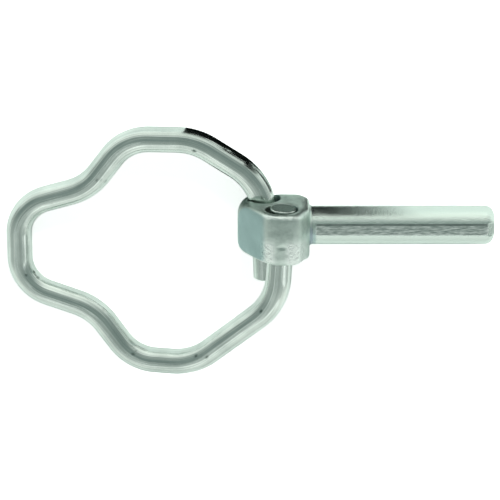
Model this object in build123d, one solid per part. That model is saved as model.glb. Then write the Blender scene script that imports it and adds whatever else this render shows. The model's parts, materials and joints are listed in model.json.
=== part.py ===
from build123d import *
from math import cos, radians, sin, tan
import os

# Lynch pin: a forged pin with a block head, and a bent wire ring held in two cross holes.
# Millimetres. X runs along the pin to its tip, Y along the cross holes, Z up.
# The origin lies on the shank's axis, at the shoulder where the shank leaves the head.

# Shank, with the narrow flats left where the forging's seam was trimmed
shank_diameter = 9.5
shank_length = 45.0
shank_root_fillet = 0.5
tip_round = 2.2
trim_flat_depth = 0.08
trim_flat_turn = 5.4
trim_flat_start = 1.6
trim_flat_end_gap = 1.0

# Head: its height along the cross holes, and its plan seen along them
head_height = 13.5
head_drop = 0.55
head_length = 17.6
head_width = 19.2
head_rise = 1.2
crown_round = 4.4
heel_round = 2.3
rear_corner_round = 4.6
rim_round = 1.3
facet_angle = 33.0
facet_wall = 1.8
facet_corner_round = 6.0
shoulder_front_angle = 25.0
shoulder_front_round = 2.6
shoulder_round = 2.4
rear_chamfer_length = 3.0
rear_chamfer_margin = 0.9

# Cross holes for the ring's legs, side by side through the head
hole_spacing_along = 4.1
hole_spacing_across = 8.1
hole_setback = 8.95
leg_clearance = 1.7

# Ring: one bent wire, its loop in plan, measured from the swing axis and the loop's middle line
wire_diameter = 6.3
nose_reach = 63.1
nose_half_width = 10.3
waist_reach = 45.0
waist_half_width = 15.6
lobe_far_reach = 35.5
lobe_near_reach = 19.5
lobe_half_width = 28.4
neck_half_width = 14.0
lobe_unevenness = 0.7
neck_bend = 15.0
lobe_near_bend = 15.0
lobe_far_bend = 11.2
waist_bend = 13.8
nose_bend = 9.5

# How the ring sits in the head at rest
ring_droop = 7.0
leg_slip = 4.2
loop_drop = 3.7
upper_leg_lean = 2.0
lower_leg_lean = 3.4
leg_lean_across = 2.0
upper_leg_shift = 0.05
upper_leg_stub = 7.5
lower_leg_stub = 0.1

# Worked out from the sizes above
shank_radius = shank_diameter / 2
wire_radius = wire_diameter / 2
hole_radius = wire_radius + leg_clearance / 2
head_top = head_height / 2 - head_drop
head_bottom = -head_height / 2 - head_drop
head_front = head_rise + head_width / 2
head_back = head_rise - head_width / 2
swing_x = -hole_setback
swing_z = head_rise
rear_hole = (swing_x - hole_spacing_along / 2, swing_z - hole_spacing_across / 2)
front_hole = (swing_x + hole_spacing_along / 2, swing_z + hole_spacing_across / 2)
overshoot = head_width
same_place = 0.01


def rear_block():
    """Block with a deep round over its back and left edges, left long at the front and right."""
    block = Pos(-head_length, -head_drop, head_back) * Box(
        head_length + overshoot, head_height, head_width + overshoot,
        align=(Align.MIN, Align.CENTER, Align.MIN))
    rear_left = block.edges().filter_by(Axis.Y).group_by(Axis.X)[0].sort_by(Axis.Z)[0]
    block = fillet(rear_left, rear_corner_round)
    heel = block.edges().filter_by(GeomType.CIRCLE).sort_by(Axis.Y)[0]
    block = fillet(heel, heel_round)
    crown = block.edges().filter_by(GeomType.CIRCLE).filter_by_position(
        Axis.Y, head_top - rim_round / 2, head_top + rim_round / 2)
    return fillet(crown, crown_round)


def plan_prism():
    """Upright prism with the facet, the rounded front, the shoulder and the trimmed rear corner."""
    lean = tan(radians(facet_angle))
    facet_gap = (hole_radius + facet_wall) / cos(radians(facet_angle))
    facet_x = front_hole[0] - facet_gap
    facet_front_x = facet_x + (head_front - front_hole[1]) * lean
    far_z = head_back - overshoot
    facet_far_x = facet_x + (far_z - front_hole[1]) * lean
    slant_x = -(head_front - shank_radius) * tan(radians(shoulder_front_angle))
    chamfer_width = crown_round + rear_chamfer_margin
    chamfer_z = head_back + chamfer_width
    chamfer_far_x = -rear_chamfer_length * (chamfer_z - far_z) / chamfer_width
    outline = FilletPolyline(
        (facet_far_x, far_z),
        (facet_front_x, head_front),
        (slant_x, head_front),
        (0, shank_radius),
        (0, chamfer_z),
        (chamfer_far_x, far_z),
        radius=[0, facet_corner_round, shoulder_front_round, shoulder_round, shoulder_round, 0],
        close=True)
    return extrude(make_face(Plane.XZ * outline), 2 * head_height, both=True)


def head_block():
    prism = plan_prism()
    block = rear_block() & prism
    walls = [face for face in prism.faces() if abs(face.normal_at().Y) < 0.5]
    rims = [
        edge for edge in block.edges()
        if abs(abs(edge.center().Y + head_drop) - head_height / 2) < same_place
        and min(wall.distance_to(edge @ 0.5) for wall in walls) < same_place
    ]
    return fillet(rims, rim_round)


def shank():
    """Round bar from inside the head to its rounded tip, with a narrow flat on two sides."""
    inner_length = head_length / 2
    bar = Pos(-inner_length, 0, 0) * Rot(0, 90, 0) * Cylinder(
        shank_radius, shank_length + inner_length, align=(Align.CENTER, Align.CENTER, Align.MIN))
    tip_edge = bar.edges().filter_by(GeomType.CIRCLE).sort_by(Axis.X)[-1]
    bar = fillet(tip_edge, tip_round)
    flat_length = shank_length - trim_flat_start - trim_flat_end_gap
    flat_half_width = (shank_radius ** 2 - (shank_radius - trim_flat_depth) ** 2) ** 0.5
    for side in (1, -1):
        flat = Pos(trim_flat_start + flat_length / 2, 0, side * shank_radius) * Box(
            flat_length, 2 * flat_half_width, 2 * trim_flat_depth)
        bar -= Rot(-side * trim_flat_turn, 0, 0) * flat
    return bar


def shank_root():
    """Hollow-sided neck that eases the shank into the shoulder."""
    neck_radius = shank_radius + shank_root_fillet
    inner_length = head_length / 4
    neck = Pos(-inner_length, 0, 0) * Rot(0, 90, 0) * Cylinder(
        neck_radius, inner_length + shank_root_fillet, align=(Align.CENTER, Align.CENTER, Align.MIN))
    return neck - Pos(shank_root_fillet, 0, 0) * Rot(0, 90, 0) * Torus(neck_radius, shank_root_fillet)


def pin_body():
    body = head_block() + shank_root() + shank()
    for x, z in (rear_hole, front_hole):
        body -= Pos(x, -head_drop, z) * Rot(90, 0, 0) * Cylinder(hole_radius, 2 * head_height)
    return body


def leg_point(side, y):
    """Point of a leg's centreline at a height y: side 1 is the upper arm's leg, -1 the lower arm's."""
    hole = rear_hole if side == 1 else front_hole
    shift = upper_leg_shift if side == 1 else 0
    lean = upper_leg_lean if side == 1 else lower_leg_lean
    past_middle = side * (-head_drop - y)
    x = hole[0] + shift + past_middle * tan(radians(lean))
    z = hole[1] + side * past_middle * tan(radians(leg_lean_across))
    return Vector(x, y, z)


def arm_corners(side):
    """Corners of one arm from its neck at the head to the nose, with the ring drooping at rest."""
    loop_middle = -leg_slip - loop_drop
    uneven = side * lobe_unevenness
    shape = [
        (lobe_near_reach, lobe_half_width),
        (lobe_far_reach + uneven, lobe_half_width),
        (waist_reach + uneven, waist_half_width),
        (nose_reach, nose_half_width),
    ]
    corners = [leg_point(side, -leg_slip + side * neck_half_width)]
    droop = radians(ring_droop)
    for reach, half_width in shape:
        sideways = -side * hole_spacing_across / 2 * (1 - reach / nose_reach)
        x = swing_x - reach * cos(droop) - sideways * sin(droop)
        z = swing_z - reach * sin(droop) + sideways * cos(droop)
        corners.append(Vector(x, loop_middle + side * half_width, z))
    return corners


def ring():
    """Wire swept along both legs and the loop between them."""
    upper_end = leg_point(1, head_bottom - upper_leg_stub)
    lower_end = leg_point(-1, head_top + lower_leg_stub)
    bends = [neck_bend, lobe_near_bend, lobe_far_bend, waist_bend, nose_bend]
    points = [upper_end, *arm_corners(1), *reversed(arm_corners(-1)), lower_end]
    path = FilletPolyline(*points, radius=[*bends, *reversed(bends)])
    section = Plane(origin=path @ 0, z_dir=path % 0) * Circle(wire_radius)
    return sweep(section, path=path)


os.makedirs("parts", exist_ok=True)
for name, make in {"pin_body": pin_body, "ring": ring}.items():
    piece = make()
    piece.label = name
    export_step(piece, f"parts/{name}.step")
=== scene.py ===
import json
from math import atan, atan2, cos, pi, radians, sin, sqrt, tan

import bmesh
import bpy
from mathutils import Matrix, Vector, noise


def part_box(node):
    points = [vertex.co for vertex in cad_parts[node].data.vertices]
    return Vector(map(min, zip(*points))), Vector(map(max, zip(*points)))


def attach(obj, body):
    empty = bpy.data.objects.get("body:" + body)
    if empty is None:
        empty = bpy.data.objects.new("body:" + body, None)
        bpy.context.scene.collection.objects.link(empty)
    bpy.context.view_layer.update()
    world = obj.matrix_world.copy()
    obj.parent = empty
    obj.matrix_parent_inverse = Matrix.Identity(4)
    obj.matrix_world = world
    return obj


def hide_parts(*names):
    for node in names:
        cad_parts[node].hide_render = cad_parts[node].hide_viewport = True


# lynch pin: a forged pin with a block head, and a sprung wire ring whose legs cross the head
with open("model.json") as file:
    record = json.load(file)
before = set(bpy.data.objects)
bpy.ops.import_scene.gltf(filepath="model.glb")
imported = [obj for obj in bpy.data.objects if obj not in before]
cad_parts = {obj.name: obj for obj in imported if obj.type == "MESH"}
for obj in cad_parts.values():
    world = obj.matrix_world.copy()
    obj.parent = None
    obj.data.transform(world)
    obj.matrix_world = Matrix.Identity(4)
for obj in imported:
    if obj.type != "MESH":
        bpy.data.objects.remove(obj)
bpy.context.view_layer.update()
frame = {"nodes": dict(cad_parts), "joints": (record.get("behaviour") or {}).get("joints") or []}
mm = 0.001
print("frame loaded:", sorted(frame["nodes"]))


def linearColor(hexText):
    # sRGB hex to the linear colour that the shaders want
    channels = [int(hexText[i:i + 2], 16) / 255 for i in (1, 3, 5)]
    linear = [c / 12.92 if c <= 0.04045 else ((c + 0.055) / 1.055) ** 2.4 for c in channels]
    return (*linear, 1.0)


def addNode(tree, kind, inputs=None, **settings):
    # one node with its settings; an input is a value or another node's output, under its name or number
    node = tree.nodes.new(kind)
    for name, value in settings.items():
        setattr(node, name, value)
    for name, value in (inputs or {}).items():
        if isinstance(value, bpy.types.NodeSocket):
            tree.links.new(value, node.inputs[name])
        else:
            node.inputs[name].default_value = value
    return node


def newMaterial(name):
    material = bpy.data.materials.new(name)
    material.use_nodes = True
    tree = material.node_tree
    tree.nodes.clear()
    output = addNode(tree, "ShaderNodeOutputMaterial")
    return material, tree, output


def addPiece(name, mesh):
    piece = bpy.data.objects.new(name, mesh)
    bpy.context.scene.collection.objects.link(piece)
    return piece


# camera: the photograph looks down on the part, tipped a little towards the head's upper end
shot = {
    "aim": (-14.5, -5.73, 2.315),
    "distance": 600.0,
    "tip": 22.0,
    "frameWidth": 122.1,
    "framePixels": 500,
    "clipStart": 10.0,
}


def makeCamera():
    data = bpy.data.cameras.new("photoCamera")
    camera = addPiece("photoCamera", data)
    tip = radians(shot["tip"])
    back = Vector((0, sin(tip), cos(tip))) * shot["distance"]
    camera.location = (Vector(shot["aim"]) + back) * mm
    camera.rotation_euler = (-tip, 0, 0)
    data.angle = 2 * atan(shot["frameWidth"] / 2 / shot["distance"])
    data.clip_start = shot["clipStart"] * mm
    bpy.context.scene.camera = camera


# studio: a pale floor under a grey room, whose walls near the floor are paler than its ceiling;
# each row says which of the room's greys lies how far towards the part's upper side, from -1 to 1
studio = {
    "floorColor": "#edf2ef",
    "floorGlow": 0.66,
    "floorMirrorGlow": 0.08,
    "floorSize": 6.0,
    "roomStrength": 1.2,
    "greys": {"white": "#f0f4ee", "pale": "#dde2de", "stone": "#c4cbc7", "middle": "#a8afac",
              "grey": "#9aa09d", "dim": "#7a8683"},
    "ceiling": ((-0.9, "pale"), (-0.5, "middle"), (0.0, "dim"), (0.45, "dim"),
                (0.72, "middle"), (0.88, "pale"), (1.0, "white")),
    "walls": ((-1.0, "stone"), (-0.7, "pale"), (-0.55, "pale"), (-0.38, "middle"), (0.0, "grey"),
              (0.2, "middle"), (0.4, "pale"), (0.8, "pale"), (1.0, "white")),
    "wallTop": (0.15, 0.6),  # the height at which the walls turn into the ceiling
}


def makeFloor():
    low = min(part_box(node)[0].z for node in frame["nodes"])
    mesh = bpy.data.meshes.new("floor")
    shape = bmesh.new()
    bmesh.ops.create_grid(shape, x_segments=1, y_segments=1, size=studio["floorSize"] / 2)
    bmesh.ops.translate(shape, verts=shape.verts, vec=(0, 0, low))
    shape.to_mesh(mesh)
    shape.free()
    floor = addPiece("floor", mesh)
    material, tree, output = newMaterial("paleFloor")
    # its glow makes it read white and leaves the soft shadow, and the metal mirrors it at its own level
    path = addNode(tree, "ShaderNodeLightPath").outputs
    seen = addNode(tree, "ShaderNodeMath", {0: path["Is Camera Ray"], 1: path["Is Transmission Ray"]},
                   operation="MAXIMUM").outputs[0]
    seen = addNode(tree, "ShaderNodeMath", {0: seen, 1: studio["floorGlow"]},
                   operation="MULTIPLY").outputs[0]
    seen = addNode(tree, "ShaderNodeMath", {0: path["Is Glossy Ray"], 1: studio["floorMirrorGlow"],
                                            2: seen}, operation="MULTIPLY_ADD").outputs[0]
    glow = addNode(tree, "ShaderNodeEmission", {"Strength": seen})
    paper = addNode(tree, "ShaderNodeBsdfDiffuse", {"Color": linearColor(studio["floorColor"])})
    bright = addNode(tree, "ShaderNodeAddShader", {0: paper.outputs[0], 1: glow.outputs[0]})
    tree.links.new(bright.outputs[0], output.inputs["Surface"])
    mesh.materials.append(material)
    print("floor laid")


def makeWorld():
    world = bpy.data.worlds.new("studioRoom")
    bpy.context.scene.world = world
    world.use_nodes = True
    tree = world.node_tree
    tree.nodes.clear()
    output = addNode(tree, "ShaderNodeOutputWorld")
    place = addNode(tree, "ShaderNodeTexCoord")
    toward = addNode(tree, "ShaderNodeSeparateXYZ", {"Vector": place.outputs["Generated"]})
    across = addNode(tree, "ShaderNodeMapRange", {"Value": toward.outputs["Y"], "From Min": -1.0,
                                                  "From Max": 1.0}).outputs["Result"]
    colors = {}
    for name in ("walls", "ceiling"):
        ramp = addNode(tree, "ShaderNodeValToRGB", {"Fac": across})
        stops = ramp.color_ramp.elements
        for _ in range(len(studio[name]) - len(stops)):
            stops.new(0.5)
        for stop, (toY, grey) in zip(stops, studio[name]):
            stop.position = (toY + 1) / 2
            stop.color = linearColor(studio["greys"][grey])
        colors[name] = ramp.outputs["Color"]
    low, high = studio["wallTop"]
    height = addNode(tree, "ShaderNodeMapRange", {"Value": toward.outputs["Z"], "From Min": low,
                                                  "From Max": high}).outputs["Result"]
    color = addNode(tree, "ShaderNodeMix", {0: height, 6: colors["walls"], 7: colors["ceiling"]},
                    data_type="RGBA").outputs[2]
    room = addNode(tree, "ShaderNodeBackground", {"Color": color, "Strength": studio["roomStrength"]})
    tree.links.new(room.outputs[0], output.inputs["Surface"])
    print("room made")


# flags: cards that lie or stand beyond the part and that only the metal mirrors; they make the dark patch
# on the shank, the dark streak on the upper arm and the shade on the head's top; each fades to pale along X
flags = {
    "pale": "#eef1f0",
    "fadePower": 2.2,  # the fade starts slowly at its dark end
    "lift": 0.1,
    "cards": {
        "armFlag": {"x": (-30.0, -13.0), "y": (14.5, 50.0), "rise": 11.0,
                    "color": "#0c1110", "fade": (-14.0, -11.0)},
        "neckFlag": {"x": (-13.0, -5.0), "y": (14.5, 27.0), "rise": 1.0,
                     "color": "#0c1110", "fade": (-7.0, -5.0)},
        "heelFlag": {"x": (-26.0, -14.5), "y": (4.0, 14.5), "rise": 0.0,
                     "color": "#707c78", "fade": (-15.0, -14.0)},
        "headFlag": {"x": (-14.5, -1.0), "y": (6.5, 14.5), "rise": 0.0,
                     "color": "#c4cfca", "fade": (0.0, 1.0)},
        "shankFlag": {"x": (-0.5, 25.0), "y": (7.5, 30.0), "rise": 0.0,
                      "color": "#0c1110", "fade": (0.0, 24.0)},
        "shankBoard": {"x": (-0.5, 25.0), "y": (30.0, 30.1), "rise": 20.0,
                       "color": "#0c1110", "fade": (0.0, 24.0)},
        "neckBoard": {"x": (-13.0, -0.5), "y": (22.0, 30.0), "rise": 11.0,
                      "color": "#0c1110", "fade": (-0.5, 0.5)},
        "farFlag": {"x": (-2.0, 22.0), "y": (45.0, 90.0), "rise": 11.0,
                    "color": "#0c1110", "fade": (18.0, 22.0)},
    },
}


def makeFlags():
    low = min(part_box(node)[0].z for node in frame["nodes"]) / mm + flags["lift"]
    for name, card in flags["cards"].items():
        left, right = card["x"]
        near, far = card["y"]
        fadeStart, fadeEnd = card["fade"]
        mesh = bpy.data.meshes.new(name)
        shape = bmesh.new()
        bmesh.ops.create_grid(shape, x_segments=1, y_segments=1, size=0.5)
        for vert in shape.verts:
            aside = vert.co.x + 0.5
            out = vert.co.y + 0.5
            vert.co = Vector((left + aside * (right - left), near + out * (far - near),
                              low + out * card["rise"])) * mm
        shape.to_mesh(mesh)
        shape.free()
        flag = addPiece(name, mesh)
        material, tree, output = newMaterial(name + "Card")
        place = addNode(tree, "ShaderNodeTexCoord").outputs["Object"]
        along = addNode(tree, "ShaderNodeSeparateXYZ", {"Vector": place}).outputs["X"]
        share = addNode(tree, "ShaderNodeMapRange", {"Value": along, "From Min": fadeStart * mm,
                                                     "From Max": fadeEnd * mm}).outputs["Result"]
        share = addNode(tree, "ShaderNodeMath", {0: share, 1: flags["fadePower"]},
                        operation="POWER").outputs[0]
        tint = addNode(tree, "ShaderNodeMix", {0: share, 6: linearColor(card["color"]),
                                               7: linearColor(flags["pale"])}, data_type="RGBA").outputs[2]
        paper = addNode(tree, "ShaderNodeBsdfDiffuse", {"Color": tint})
        tree.links.new(paper.outputs[0], output.inputs["Surface"])
        mesh.materials.append(material)
        flag.visible_camera = False
        flag.visible_diffuse = False
        flag.visible_shadow = False
    print("flags set:", len(flags["cards"]))


# lamps: three narrow strips for the wire's thin bright lines, and a key that lights the floor beyond it
lamps = {
    "nearStrip": {"at": (-0.05, -0.62, 0.62), "size": (1.1, 0.12), "watts": 0.18, "mirrored": True},
    "leftStrip": {"at": (-0.31, -0.18, 0.42), "size": (0.05, 0.5), "watts": 0.025, "mirrored": True},
    "rightStrip": {"at": (0.35, -0.2, 0.44), "size": (0.07, 0.5), "watts": 0.075, "mirrored": True},
    "key": {"at": (0.1, 0.9, 0.55), "size": (0.4, 0.25), "watts": 10.5, "mirrored": False},
}


def makeLights():
    target = Vector(shot["aim"]) * mm
    for name, lamp in lamps.items():
        data = bpy.data.lights.new(name, "AREA")
        data.shape = "RECTANGLE"
        data.size, data.size_y = lamp["size"]
        data.energy = lamp["watts"]
        light = addPiece(name, data)
        light.location = lamp["at"]
        light.rotation_euler = (light.location - target).to_track_quat("Z", "Y").to_euler()
        light.visible_glossy = lamp["mirrored"]
    print("lamps hung:", len(lamps))


textureMiddle = {"From Min": 0.32, "From Max": 0.68}  # where a noise texture's values mostly lie

# zinc on the forging: greenish silver, mottled and finely pitted, because the plate follows the forged
# skin; the side facet has its blue-green bloom, darkened as painted shade, the shank's root has painted
# shade where it meets the head, the trimmed seam is streaked and has a painted shade line along its burr,
# and the rough torn patch low on the head's front and the head's rounded front rim are painted brighter
# as painted highlights
forgedZinc = {
    "pale": "#e3f0e8",
    "dull": "#c2d0c9",
    # colour of the rough torn skin, made brighter as a painted highlight
    "tornAndHighlight": "#f2faf5",
    # blue-green bloom of the plating, darkened as well as painted shade for the facet's dim reflection
    "bloomAndShade": "#a8c1c0",
    # painted shade at the shank's root, where it meets the head
    "rootShadeBlue": "#a0b1b8",
    # painted shade: the dark line along the seam's burr stands in for the shadow under its small ledge
    "burrShade": "#7d8a85",
    "seamLight": "#f4fbf6",
    "seamDark": "#a3b1ab",
    # each texture's size in millimetres, detail and roughness; pits are drawn coarser, so that they show
    "textures": {"mottle": (3.2, 4.0, 0.6), "grain": (0.7, 2.0, 0.5), "pit": (0.25, 2.0, 0.5),
                 "streak": (0.42, 3.0, 0.5)},
    "streakStretch": 4.5,
    "smoothest": 0.34,
    "roughest": 0.48,
    "shankRoughness": 0.24,
    "tornRoughness": 0.26,
    "seamRoughness": 0.34,
    "grainDepth": 0.15,
    "leastGrain": 0.2,
    "pitDepth": 0.09,
    "pitShare": 0.6,
    "tornDepth": 0.14,
}

# the finish's shares at each point of the forging, kept as attributes of its mesh
skinShares = ("seam", "bloomAndShade", "skin", "onHead", "burrShade", "rootShade")


def makeForgedZinc():
    material, tree, output = newMaterial("zincPlatedForging")
    look = forgedZinc
    place = addNode(tree, "ShaderNodeTexCoord").outputs["Object"]
    along = addNode(tree, "ShaderNodeMapping", {"Vector": place,
                                                "Scale": (1 / look["streakStretch"], 1.0, 1.0)}).outputs[0]
    texture = {}
    for name, (size, detail, roughness) in look["textures"].items():
        where = along if name == "streak" else place
        texture[name] = addNode(tree, "ShaderNodeTexNoise",
                                {"Vector": where, "Scale": 1 / (size * mm), "Detail": detail,
                                 "Roughness": roughness}).outputs["Fac"]
    share = {}
    for name in skinShares:
        share[name] = addNode(tree, "ShaderNodeAttribute", attribute_name=name).outputs["Fac"]
    twoTone = {}
    for name, first, second in (("streak", "seamDark", "seamLight"), ("mottle", "dull", "pale")):
        tone = addNode(tree, "ShaderNodeMapRange", {"Value": texture[name],
                                                    **textureMiddle}).outputs["Result"]
        twoTone[name] = addNode(tree, "ShaderNodeMix", {0: tone, 6: linearColor(look[first]),
                                                        7: linearColor(look[second])},
                                data_type="RGBA").outputs[2]
    tint = linearColor(look["pale"])
    # the torn colour also paints highlights on the head's rim and lower front; the bloom colour is partly
    # painted shade on the facet and the root; the root and burr colours are painted shade
    layers = (("onHead", twoTone["mottle"]), ("skin", linearColor(look["tornAndHighlight"])),
              ("bloomAndShade", linearColor(look["bloomAndShade"])), ("rootShade", linearColor(look["rootShadeBlue"])),
              ("seam", twoTone["streak"]), ("burrShade", linearColor(look["burrShade"])))
    for name, color in layers:
        tint = addNode(tree, "ShaderNodeMix", {0: share[name], 6: tint, 7: color},
                       data_type="RGBA").outputs[2]
    mottledRough = addNode(tree, "ShaderNodeMapRange", {"Value": texture["mottle"], **textureMiddle,
                                                        "To Min": look["roughest"],
                                                        "To Max": look["smoothest"]}).outputs["Result"]
    rough = look["shankRoughness"]
    for name, value in (("onHead", mottledRough), ("skin", look["tornRoughness"]),
                        ("seam", look["seamRoughness"])):
        rough = addNode(tree, "ShaderNodeMix", {0: share[name], 2: rough, 3: value}).outputs[0]
    grainShare = addNode(tree, "ShaderNodeMapRange", {"Value": share["skin"], "To Min": look["leastGrain"],
                                                      "To Max": 1.0}).outputs["Result"]
    bump = addNode(tree, "ShaderNodeBump", {"Height": texture["grain"], "Strength": grainShare,
                                            "Distance": look["grainDepth"] * mm}).outputs["Normal"]
    bump = addNode(tree, "ShaderNodeBump", {"Height": texture["pit"], "Strength": look["pitShare"],
                                            "Normal": bump,
                                            "Distance": look["pitDepth"] * mm}).outputs["Normal"]
    bump = addNode(tree, "ShaderNodeBump", {"Height": texture["streak"], "Strength": share["seam"],
                                            "Normal": bump,
                                            "Distance": look["tornDepth"] * mm}).outputs["Normal"]
    metal = addNode(tree, "ShaderNodeBsdfPrincipled", {"Base Color": tint, "Metallic": 1.0,
                                                       "Roughness": rough, "Normal": bump})
    tree.links.new(metal.outputs[0], output.inputs["Surface"])
    return material


# zinc on the drawn wire: brighter and smoother, with draw lines along it and grey wear in its nicks;
# its cut ends take the same dark colour as painted shade, for the dark reflection in them;
# real draw lines are finer than this, and are drawn coarser so that they show
wireZinc = {
    "pale": "#f2fbf4",
    "dull": "#c6d1cb",
    # dark grey-green of the worn nicks, also painted on the cut ends as painted shade
    "wearAndEndShade": "#52665d",
    "patch": 7.0,
    "patchDetail": 3.0,
    "line": 0.5,
    "lineStretch": 60.0,
    "lineDetail": 2.0,
    "lineDepth": 0.1,
    "smoothest": 0.09,
    "roughest": 0.2,
    "cutEnd": 1.0,
}


def makeWireZinc():
    material, tree, output = newMaterial("zincPlatedWire")
    look = wireZinc
    # the wire's own straightened place, in metres: along it, then across it
    place = addNode(tree, "ShaderNodeAttribute", attribute_name="straightened").outputs["Vector"]
    wearAndEndShade = addNode(tree, "ShaderNodeAttribute", attribute_name="wearAndEndShade").outputs["Fac"]
    patch = addNode(tree, "ShaderNodeTexNoise", {"Vector": place, "Scale": 1 / (look["patch"] * mm),
                                                 "Detail": look["patchDetail"]}).outputs["Fac"]
    drawn = addNode(tree, "ShaderNodeMapping", {"Vector": place,
                                                "Scale": (1 / look["lineStretch"], 1.0, 1.0)}).outputs[0]
    lines = addNode(tree, "ShaderNodeTexNoise", {"Vector": drawn, "Scale": 1 / (look["line"] * mm),
                                                 "Detail": look["lineDetail"]}).outputs["Fac"]
    both = addNode(tree, "ShaderNodeMath", {0: patch, 1: lines}, operation="ADD").outputs[0]
    both = addNode(tree, "ShaderNodeMath", {0: both, 1: 0.5}, operation="MULTIPLY").outputs[0]
    both = addNode(tree, "ShaderNodeMapRange", {"Value": both, **textureMiddle}).outputs["Result"]
    tint = addNode(tree, "ShaderNodeMix", {0: both, 6: linearColor(look["dull"]),
                                           7: linearColor(look["pale"])}, data_type="RGBA").outputs[2]
    # the same dark colour is painted shade on the cut ends
    tint = addNode(tree, "ShaderNodeMix", {0: wearAndEndShade, 6: tint, 7: linearColor(look["wearAndEndShade"])},
                   data_type="RGBA").outputs[2]
    rough = addNode(tree, "ShaderNodeMapRange", {"Value": patch, **textureMiddle,
                                                 "To Min": look["roughest"],
                                                 "To Max": look["smoothest"]}).outputs["Result"]
    bump = addNode(tree, "ShaderNodeBump", {"Height": lines, "Strength": 1.0,
                                            "Distance": look["lineDepth"] * mm}).outputs["Normal"]
    metal = addNode(tree, "ShaderNodeBsdfPrincipled", {"Base Color": tint, "Metallic": 1.0,
                                                       "Roughness": rough, "Normal": bump})
    tree.links.new(metal.outputs[0], output.inputs["Surface"])
    return material


# the ring's wire, with the same sizes as its solid, in millimetres
wireRing = {
    "wire": 6.3,
    "headMiddle": -0.55,
    "head": 13.5,
    "holesAlong": 4.1,
    "holesAcross": 8.1,
    "nose": (63.1, 10.3),
    "waist": (45.0, 15.6),
    "lobeFar": (35.5, 28.4),
    "lobeNear": (19.5, 28.4),
    "neck": 14.0,
    "uneven": 0.7,
    "bends": (15.0, 15.0, 11.2, 13.8, 9.5),
    "droop": 7.0,
    "drop": 3.7,
    "lean": {1: 2.0, -1: 3.4},
    "leanAcross": 2.0,
    "shift": {1: 0.05, -1: 0.0},
    "stub": {1: 7.5, -1: 0.1},
    "step": 0.36,
    "around": 72,
    "endRound": 0.35,
    "endSteps": 4,
}

# nicks in the wire: each one's place in the photograph in pixels, then its radius and depth
wireNicks = {
    "stretch": 1.6,
    "wornThrough": 0.1,  # a nick this deep is dark all over
    "places": {
        "upperArm": ((194, 151, 0.50, 0.10),),
        "upperLobe": ((97, 180, 0.36, 0.05), (101, 180, 0.34, 0.03), (106, 181, 0.42, 0.05)),
        "nose": ((26, 275, 0.34, 0.08), (34, 272, 0.50, 0.10), (38, 278, 0.34, 0.07)),
        "lowerLobe": ((132, 346, 0.30, 0.04), (134, 348, 0.28, 0.03), (133, 354, 0.46, 0.06),
                      (136, 351, 0.30, 0.04)),
        "lowerArm": ((196, 356, 0.42, 0.08), (207, 357, 0.42, 0.07)),
        "lowerNeck": ((261, 311, 0.38, 0.10),),
    },
}


def legPoint(side, y, swing):
    # a point on a leg's centreline; side 1 is the upper arm's leg
    past = side * (wireRing["headMiddle"] - y)
    x = swing.x - side * wireRing["holesAlong"] / 2 + wireRing["shift"][side]
    x += past * tan(radians(wireRing["lean"][side]))
    z = swing.z - side * (wireRing["holesAcross"] / 2 - past * tan(radians(wireRing["leanAcross"])))
    return Vector((x, y, z))


def armCorners(side, swing):
    # the corners of one arm from the head to the nose, drooping as the ring lies at rest
    middle = swing.y - wireRing["drop"]
    uneven = side * wireRing["uneven"]
    corners = [legPoint(side, swing.y + side * wireRing["neck"], swing)]
    droop = radians(wireRing["droop"])
    for name, extra in (("lobeNear", 0), ("lobeFar", uneven), ("waist", uneven), ("nose", 0)):
        reach, halfWidth = wireRing[name]
        reach += extra
        sideways = -side * wireRing["holesAcross"] / 2 * (1 - reach / wireRing["nose"][0])
        x = swing.x - reach * cos(droop) - sideways * sin(droop)
        z = swing.z - reach * sin(droop) + sideways * cos(droop)
        corners.append(Vector((x, middle + side * halfWidth, z)))
    return corners


def steps(length):
    return max(2, round(length / wireRing["step"]))


def ringLine():
    # the centreline as points with their directions: straight runs joined by round bends
    swing = Vector(frame["joints"][0]["pos_m"]) / mm
    half = wireRing["head"] / 2
    start = legPoint(1, wireRing["headMiddle"] - half - wireRing["stub"][1], swing)
    end = legPoint(-1, wireRing["headMiddle"] + half + wireRing["stub"][-1], swing)
    corners = armCorners(1, swing) + armCorners(-1, swing)[::-1]
    bends = [*wireRing["bends"], *wireRing["bends"][::-1]]
    points = [start, *corners, end]
    line = []
    last = start
    for i, bend in enumerate(bends):
        corner = corners[i]
        before = (corner - points[i]).normalized()
        after = (points[i + 2] - corner).normalized()
        turn = before.angle(after)
        reach = bend * tan(turn / 2)
        into = corner - before * reach
        straight = steps((into - last).length)
        line += [(last.lerp(into, k / straight), before) for k in range(straight)]
        inward = (after - before * after.dot(before)).normalized()
        centre = into + inward * bend
        curved = steps(bend * turn)
        for k in range(curved):
            angle = turn * k / curved
            line.append((centre + (before * sin(angle) - inward * cos(angle)) * bend,
                         before * cos(angle) + inward * sin(angle)))
        last = corner + after * reach
    straight = steps((end - last).length)
    line += [(last.lerp(end, k / straight), after) for k in range(straight + 1)]
    return line


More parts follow.
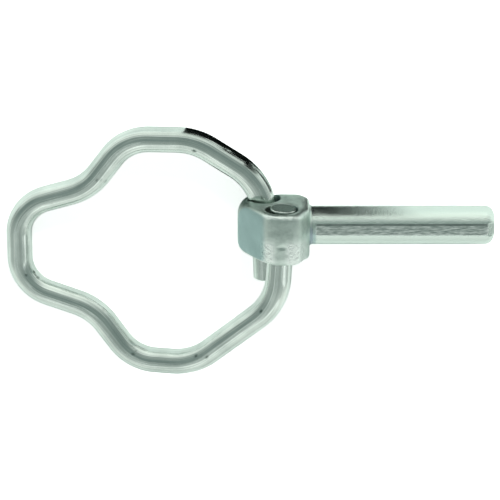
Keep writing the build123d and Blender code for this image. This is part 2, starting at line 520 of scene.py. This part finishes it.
def seenOnWire(pixelX, pixelY, rings):
    # the place on the wire that a pixel of the photograph shows: how far along it and how far round it
    tip = radians(shot["tip"])
    back = Vector((0, sin(tip), cos(tip)))
    upward = Vector((0, cos(tip), -sin(tip)))
    radius = wireRing["wire"] / 2
    half = shot["framePixels"] / 2
    pixel = shot["frameWidth"] / shot["framePixels"]
    aside = Vector(((pixelX - half) * pixel, 0, 0)) + upward * (half - pixelY) * pixel
    sight = (aside - back * shot["distance"]).normalized()
    seen = []
    for verts, point, turn, along, inset in rings:
        start = turn.transposed() @ (Vector(shot["aim"]) + aside - point)
        ray = turn.transposed() @ sight
        nearing = start.xy.dot(ray.xy)
        square = ray.xy.length_squared
        inside = nearing ** 2 - square * (start.xy.length_squared - radius ** 2)
        if inside > 0:
            hit = start - ray * (nearing + sqrt(inside)) / square
            seen.append((abs(hit.z), along + hit.z, atan2(hit.y, hit.x)))
    return min(seen)[1:]


def nickAt(along, around, nicks):
    # how deep and how worn the wire is at a place on its surface
    deep = 0.0
    wearAndEndShade = 0.0
    for nickAlong, nickAround, width, depth in nicks:
        gap = (around - nickAround + pi) % (2 * pi) - pi
        offset = Vector(((along - nickAlong) / wireNicks["stretch"], gap * wireRing["wire"] / 2))
        distance = offset.length / width
        if distance < 1:
            deep += depth * (1 - distance ** 2) ** 2
            wearAndEndShade = max(wearAndEndShade, (1 - distance ** 2) * min(1.0, depth / wireNicks["wornThrough"]))
    return deep, wearAndEndShade


def ringStations():
    # places for the wire's circle: point, direction, distance along and how far its edge is rounded in
    line = ringLine()
    endRound = wireRing["endRound"]
    stations = []
    along = 0.0
    for k, (point, toward) in enumerate(line):
        if k:
            along += (point - line[k - 1][0]).length
        stations.append((point, toward, along, 0.0))
    start, toward = line[0]
    end, away = line[-1]
    rows = []
    for row in range(wireRing["endSteps"] + 1):
        angle = pi / 2 * row / wireRing["endSteps"]
        rows.append((endRound * (1 - cos(angle)), endRound * (1 - sin(angle))))
    first = [(start + toward * slip, toward, slip, inset) for slip, inset in rows]
    last = [(end - away * slip, away, along - slip, inset) for slip, inset in rows[::-1]]
    return first + [station for station in stations if endRound < station[2] < along - endRound] + last


def makeRing(finish):
    stations = ringStations()
    radius = wireRing["wire"] / 2
    shape = bmesh.new()
    straightened = shape.verts.layers.float_vector.new("straightened")
    wearAndEndShadeShare = shape.verts.layers.float.new("wearAndEndShade")
    # a capped circle, extruded and turned from place to place along the wire's middle
    verts = bmesh.ops.create_circle(shape, cap_ends=True, segments=wireRing["around"], radius=1.0)["verts"]
    edges = list({edge for vert in verts for edge in vert.link_edges})
    last = Matrix.Identity(4)
    sideways = stations[0][1].cross(Vector((0, 0, 1))).cross(stations[0][1]).normalized()
    rings = []
    for k, (point, toward, along, inset) in enumerate(stations):
        sideways = (sideways - toward * sideways.dot(toward)).normalized()
        turn = Matrix((sideways, toward.cross(sideways), toward)).transposed()
        now = Matrix.LocRotScale(point * mm, turn, Vector((radius - inset, radius - inset, 1.0)) * mm)
        if k:
            grown = bmesh.ops.extrude_edge_only(shape, edges=edges)["geom"]
            verts = [part for part in grown if isinstance(part, bmesh.types.BMVert)]
            edges = [part for part in grown if isinstance(part, bmesh.types.BMEdge)]
        change = now @ last.inverted()
        for vert in verts:
            vert.co = change @ vert.co
        last = now
        rings.append((verts, point, turn, along, inset))
    bmesh.ops.contextual_create(shape, geom=edges)
    nicks = []
    for places in wireNicks["places"].values():
        for pixelX, pixelY, width, depth in places:
            nicks.append((*seenOnWire(pixelX, pixelY, rings), width, depth))
    for verts, point, turn, along, inset in rings:
        near = [nick for nick in nicks if abs(along - nick[0]) < nick[2] * wireNicks["stretch"]]
        # painted shade: the cut ends are coloured as dark as the worn nicks, for the dark reflection they
        # show
        endShade = wireZinc["cutEnd"] if inset == wireRing["endRound"] else 0.0
        for vert in verts:
            across = turn.transposed() @ (vert.co / mm - point)
            around = atan2(across.y, across.x)
            deep, wearAndEndShade = nickAt(along, around, near)
            vert[straightened] = Vector((along, radius * cos(around), radius * sin(around))) * mm
            vert[wearAndEndShadeShare] = max(wearAndEndShade, endShade)
            vert.co -= turn @ Vector((cos(around), sin(around), 0.0)) * deep * mm
    bmesh.ops.recalc_face_normals(shape, faces=shape.faces)
    for face in shape.faces:
        face.smooth = len(face.verts) == 4
    mesh = bpy.data.meshes.new("wireRing")
    shape.to_mesh(mesh)
    shape.free()
    mesh.materials.append(finish)
    piece = addPiece("wireRing", mesh)
    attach(piece, "ring")
    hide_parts("ring")
    print("ring made:", len(mesh.polygons), "faces")


# the forging's skin: a fine even mesh over its solid, softened, drafted, trimmed and roughened inwards;
# lengths are in millimetres, and a pair is where a share starts and where it is full
forging = {
    "weld": 0.001,
    "voxel": 0.24,
    "smoothing": 4,
    "headSmoothing": 40,
    "headEnd": -0.8,
    "headFade": (-1.0, 1.0),
    "holeRadius": 4.0,
    "holeMargin": 0.1,
    "holes": ((-11.0, -2.85), (-6.9, 5.25)),
    "draft": {"angle": 7.0, "front": (4.0, 9.0), "partingHeight": 0.35, "partingRound": 1.4},
    "dent": {"at": (-6.9, -1.9, 10.6), "size": (1.5, 0.8, 1.2), "depth": 0.34},
    "shankRadius": 4.75,
    "seam": {"turn": 5.4, "depth": 0.2, "start": (1.45, 1.75), "end": (43.8, 44.1), "cutEnd": 44.3,
             "margin": 0.02, "rough": 0.05, "grainStretch": 3.0, "grainPerMm": 2.2},
    "burrShade": {"across": 1.2, "fade": (0.05, 0.35)},
    "tipFacet": {"lean": 38.0, "x": 43.0, "halfWidth": 1.6},
    "facetBloomAndShade": {"left": (0.6, 0.82), "up": (0.1, 0.4)},
    "rootPaintedShade": {"share": 0.8, "end": (1.2, 1.8), "down": (-0.2, 0.2)},
    "rootShadeTint": {"start": (-0.2, 0.2), "end": (0.6, 0.9), "down": (-0.4, 0.0)},
    # painted highlight on the head's rounded front rim, chosen by the direction its surface faces
    "rimHighlight": {"share": 0.8, "start": (0.15, 0.35), "end": (0.7, 0.9), "up": (0.3, 0.5)},
    "tornPatchWithHighlight": {"middle": -7.2, "aside": (0.5, 2.4), "edge": (-13.0, -11.8), "below": (-0.6, 1.8),
                  "grain": 0.6, "depth": 0.1},
    "headSkin": 0.08,
    "shankSkin": 0.03,
    "skinGrain": 1.5,
    "fractal": (0.8, 2.0, 3),  # how fast its octaves weaken, their ratio and their number
}


def ease(value, span):
    # 0 below the span, 1 above it, smooth between
    low, high = span
    share = max(0.0, min(1.0, (value - low) / (high - low)))
    return share * share * (3 - 2 * share)


def lumps(place):
    return noise.fractal(place, *forging["fractal"])


def inHole(place):
    reach = forging["holeRadius"] + forging["holeMargin"]
    return any(Vector((place.x - x, place.z - z)).length < reach for x, z in forging["holes"])


def draftHead(place, front):
    # slopes the head's front away from its parting line, and presses in the small dent
    draft = forging["draft"]
    fromParting = Vector((place.y - draft["partingHeight"], draft["partingRound"])).length
    place.z -= front * tan(radians(draft["angle"])) * (fromParting - draft["partingRound"])
    dent = forging["dent"]
    offset = place - Vector(dent["at"])
    spread = Vector(offset[k] / dent["size"][k] for k in range(3)).length
    if spread < 1:
        place.z -= dent["depth"] * (1 - spread ** 2) ** 2


def trimSeam(place):
    # cuts the seam's rough flat and the small facet at the tip, and gives the shares of seam and of the
    # painted shade line along its burr
    seam = forging["seam"]
    burrShade = forging["burrShade"]
    facet = forging["tipFacet"]
    level = forging["shankRadius"] - seam["depth"]
    turn = radians(seam["turn"])
    face = Vector((0, sin(turn), cos(turn)))
    seamShare = 0.0
    burrShadeShare = 0.0
    high = place.dot(face) - level
    if high > -seam["margin"] and place.x < seam["cutEnd"]:
        share = ease(place.x, seam["start"])
        grain = lumps(Vector((place.x / seam["grainStretch"], place.y, place.z)) * seam["grainPerMm"])
        place -= face * max(0.0, high + seam["rough"] * max(0.0, grain)) * share
        seamShare = share * (1 - ease(place.x, seam["end"]))
        across = place.dot(Vector((0, cos(turn), -sin(turn))))
        # painted shade line along the seam's upper edge
        burrShadeShare = seamShare * (1 - ease(abs(across - burrShade["across"]), burrShade["fade"]))
    lean = radians(facet["lean"])
    slope = Vector((sin(lean), cos(lean) * sin(turn), cos(lean) * cos(turn)))
    beyond = (place - face * level - Vector((facet["x"], 0, 0))).dot(slope)
    if beyond > 0 and abs(place.y - level * sin(turn)) < facet["halfWidth"] and place.z > 0:
        place -= slope * beyond
    return seamShare, burrShadeShare


def shapeSkin(place, normal):
    # moves a point of the forging's skin, and gives its shares of each finish
    front = ease(place.z, forging["draft"]["front"])
    seam = 0.0
    burrShade = 0.0
    if place.x < 0:
        draftHead(place, front)
    if place.x > forging["seam"]["start"][0]:
        seam, burrShade = trimSeam(place)
    onHead = 1 - ease(place.x, forging["headFade"])
    # the left facet, picked by its normal, takes the bloom colour: the blue-green tint is the plating's,
    # its darkness is painted shade
    facet = forging["facetBloomAndShade"]
    facetBloomAndShade = onHead * ease(-normal.x, facet["left"]) * ease(normal.z, facet["up"])
    # painted shade: the underside of the shank next to the head takes the bloom colour
    neck = forging["rootPaintedShade"]
    neckPaintedShade = neck["share"] * (1 - ease(place.x, neck["end"])) * (1 - onHead)
    neckPaintedShade *= ease(-normal.y, neck["down"])
    bloomAndShade = max(facetBloomAndShade, neckPaintedShade)
    # the lower front of the head is a rough torn patch, and it is also painted brighter: a painted
    # reflection of the bright floor it faces
    patch = forging["tornPatchWithHighlight"]
    skin = front * onHead * ease(-place.y, patch["below"])
    skin *= ease(abs(place.x - patch["middle"]), patch["aside"]) * ease(place.x, patch["edge"])
    # painted highlight: the rounded rim between the head's top and its front, picked by its normal, takes
    # the bright torn colour
    rim = forging["rimHighlight"]
    rimHighlightShare = ease(normal.y, rim["start"]) * (1 - ease(normal.y, rim["end"])) * ease(normal.z, rim["up"])
    skin = max(skin, rim["share"] * rimHighlightShare * onHead * front)
    depth = forging["headSkin"] * onHead + forging["shankSkin"] * (1 - onHead)
    rough = 0.5 + 0.5 * lumps(place / forging["skinGrain"])
    place -= normal * max(0.0, min(1.0, rough)) * depth
    place -= normal * skin * patch["depth"] * max(0.0, lumps(place / patch["grain"]))
    # painted shade: a blue-grey band round the shank's root, darker on its underside
    tint = forging["rootShadeTint"]
    rootShade = ease(place.x, tint["start"]) * (1 - ease(place.x, tint["end"])) * ease(-normal.y, tint["down"])
    return {"seam": seam, "bloomAndShade": bloomAndShade, "skin": skin, "onHead": onHead, "burrShade": burrShade, "rootShade": rootShade}


def makePin(finish):
    mesh = frame["nodes"]["pin_body"].data.copy()
    shape = bmesh.new()
    shape.from_mesh(mesh)
    bmesh.ops.remove_doubles(shape, verts=shape.verts, dist=forging["weld"] * mm)
    shape.to_mesh(mesh)
    shape.free()
    piece = addPiece("forgedPin", mesh)
    remesh = piece.modifiers.new("evenMesh", "REMESH")
    remesh.mode = "VOXEL"
    remesh.voxel_size = forging["voxel"] * mm
    bpy.context.view_layer.update()
    fine = bpy.data.meshes.new_from_object(piece.evaluated_get(bpy.context.evaluated_depsgraph_get()))
    piece.modifiers.clear()
    piece.data = fine
    fine.name = "forgedPin"
    shape = bmesh.new()
    shape.from_mesh(fine)
    headEnd = forging["headEnd"] * mm
    headVerts = [vert for vert in shape.verts if vert.co.x < headEnd and not inHole(vert.co / mm)]
    for verts, passes in ((shape.verts, forging["smoothing"]), (headVerts, forging["headSmoothing"])):
        for _ in range(passes):
            bmesh.ops.smooth_vert(shape, verts=verts, factor=0.5,
                                  use_axis_x=True, use_axis_y=True, use_axis_z=True)
    shape.normal_update()
    shares = {name: [] for name in skinShares}
    for vert in shape.verts:
        place = vert.co / mm
        for name, share in shapeSkin(place, vert.normal).items():
            shares[name].append(share)
        vert.co = place * mm
    for face in shape.faces:
        face.smooth = True
    shape.to_mesh(fine)
    shape.free()
    for name, values in shares.items():
        fine.attributes.new(name, "FLOAT", "POINT").data.foreach_set("value", values)
    fine.materials.clear()
    fine.materials.append(finish)
    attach(piece, "pin")
    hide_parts("pin_body")
    print("pin made:", len(fine.polygons), "faces")


bpy.context.scene.view_settings.view_transform = "Standard"
makeCamera()
makeFloor()
makeWorld()
makeFlags()
makeLights()
makePin(makeForgedZinc())
makeRing(makeWireZinc())
